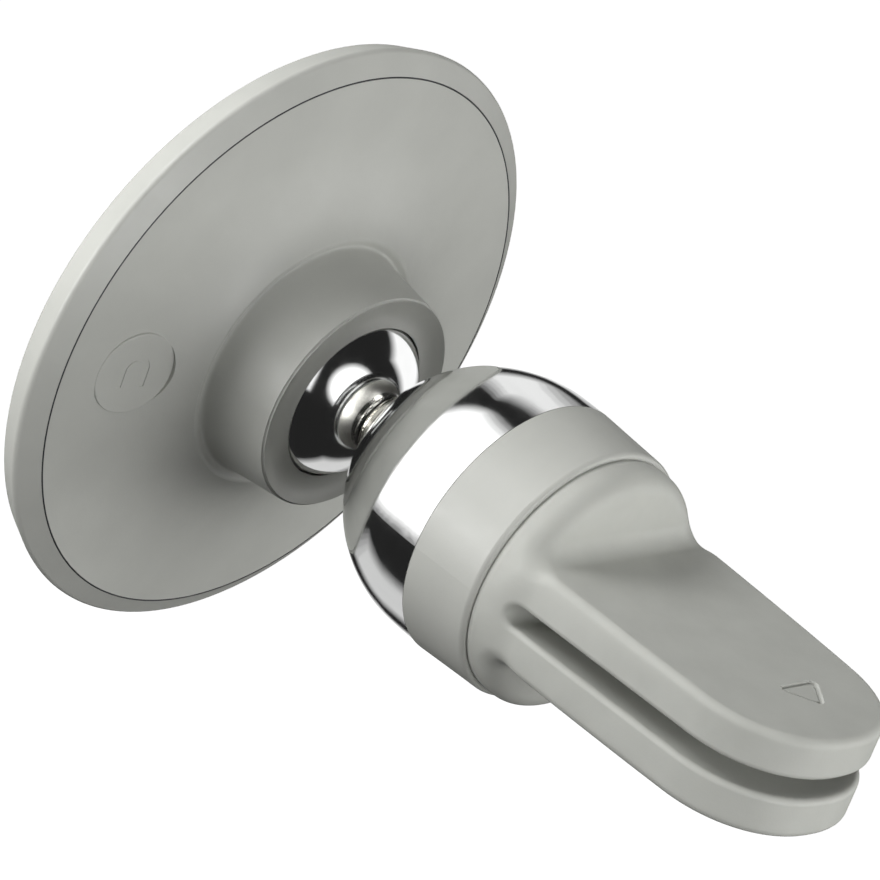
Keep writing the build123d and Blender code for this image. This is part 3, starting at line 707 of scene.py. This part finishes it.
def direction(azimuth, elevation):
    """Unit vector; azimuth 0 is +Y and 90 is -X, in degrees."""
    a, e = radians(azimuth), radians(elevation)
    return Vector((-sin(a) * cos(e), cos(a) * cos(e), sin(e)))


def softbox(name, azimuth, elevation, width, height, brightness, receivers, distance):
    """Area light seen from the object under the given angles, for one group of receivers."""
    lamp = bpy.data.lights.new(name, "AREA")
    lamp.shape = "ELLIPSE"
    lamp.size = 2 * distance * tan(radians(width / 2))
    lamp.size_y = 2 * distance * tan(radians(height / 2))
    lamp.energy = brightness * pi * lamp.size * lamp.size_y
    light = bpy.data.objects.new(name, lamp)
    away = direction(azimuth, elevation)
    light.location = STAGE_CENTRE + away * distance
    light.rotation_mode = "QUATERNION"
    light.rotation_quaternion = away.to_track_quat("Z", "Y")
    light.visible_camera = False
    light.light_linking.receiver_collection = receivers
    bpy.context.scene.collection.objects.link(light)
    return light


def light_group(name, state):
    """Group that lets a light shine on the metal pieces only, or on all the others."""
    group = bpy.data.collections.new(name)
    for piece in METAL_PIECES:
        group.objects.link(nodes[piece])
    for entry in group.collection_objects:
        entry.light_linking.link_state = state
    return group


def soft_card(name, azimuth, elevation, width, height, brightness, metal):
    """Card with soft edges: a few sheets of rising size, one behind the other."""
    edge = min(CARD_EDGE, CARD_EDGE_SHARE * width)
    share = brightness / CARD_STEPS
    for i in range(CARD_STEPS):
        grow = edge * (2 * i / (CARD_STEPS - 1) - 1)
        size = (width + grow, height + grow)
        distance = LIGHT_DISTANCE + i * CARD_SPACING
        card = softbox(f"{name}_{i}", azimuth, elevation, *size, share, metal, distance)
        if name not in ROUND_CARDS:
            card.data.shape = "RECTANGLE"


pale_floor()
room_light(camera_level=1.0, fill_level=0.01, glossy_level=0.018)
others = light_group("all_but_metal", "EXCLUDE")
for name, values in BODY_LIGHTS.items():
    softbox(name, *values, others, LIGHT_DISTANCE)
metal = light_group("metal", "INCLUDE")
for name, values in METAL_CARDS.items():
    soft_card(name, *values, metal)


# ---- camera -------------------------------------------------------------------------------------
CAMERA_TARGET = Vector((-8.25, -57.06, -2.14)) * MM
CAMERA_DISTANCE = 0.726
CAMERA_AZIMUTH = 125.4
CAMERA_ELEVATION = 24.46
CAMERA_ROLL = 22.45
CAMERA_LENS = 337.8
CAMERA_SENSOR = 36.0
CAMERA_CLIP = (0.01, 100.0)


def camera():
    """Long-lens camera, rolled about its own line of sight."""
    data = bpy.data.cameras.new("camera")
    data.lens = CAMERA_LENS
    data.sensor_width = CAMERA_SENSOR
    data.clip_start, data.clip_end = CAMERA_CLIP
    cam = bpy.data.objects.new("camera", data)
    a, e = radians(CAMERA_AZIMUTH), radians(CAMERA_ELEVATION)
    back = Vector((sin(a) * cos(e), -cos(a) * cos(e), sin(e)))
    upright = back.to_track_quat("Z", "Y")
    cam.rotation_mode = "QUATERNION"
    cam.rotation_quaternion = Matrix.Rotation(radians(CAMERA_ROLL), 3, back).to_quaternion() @ upright
    cam.location = CAMERA_TARGET + back * CAMERA_DISTANCE
    bpy.context.scene.collection.objects.link(cam)
    bpy.context.scene.camera = cam


camera()
bpy.context.scene.view_settings.view_transform = "Standard"
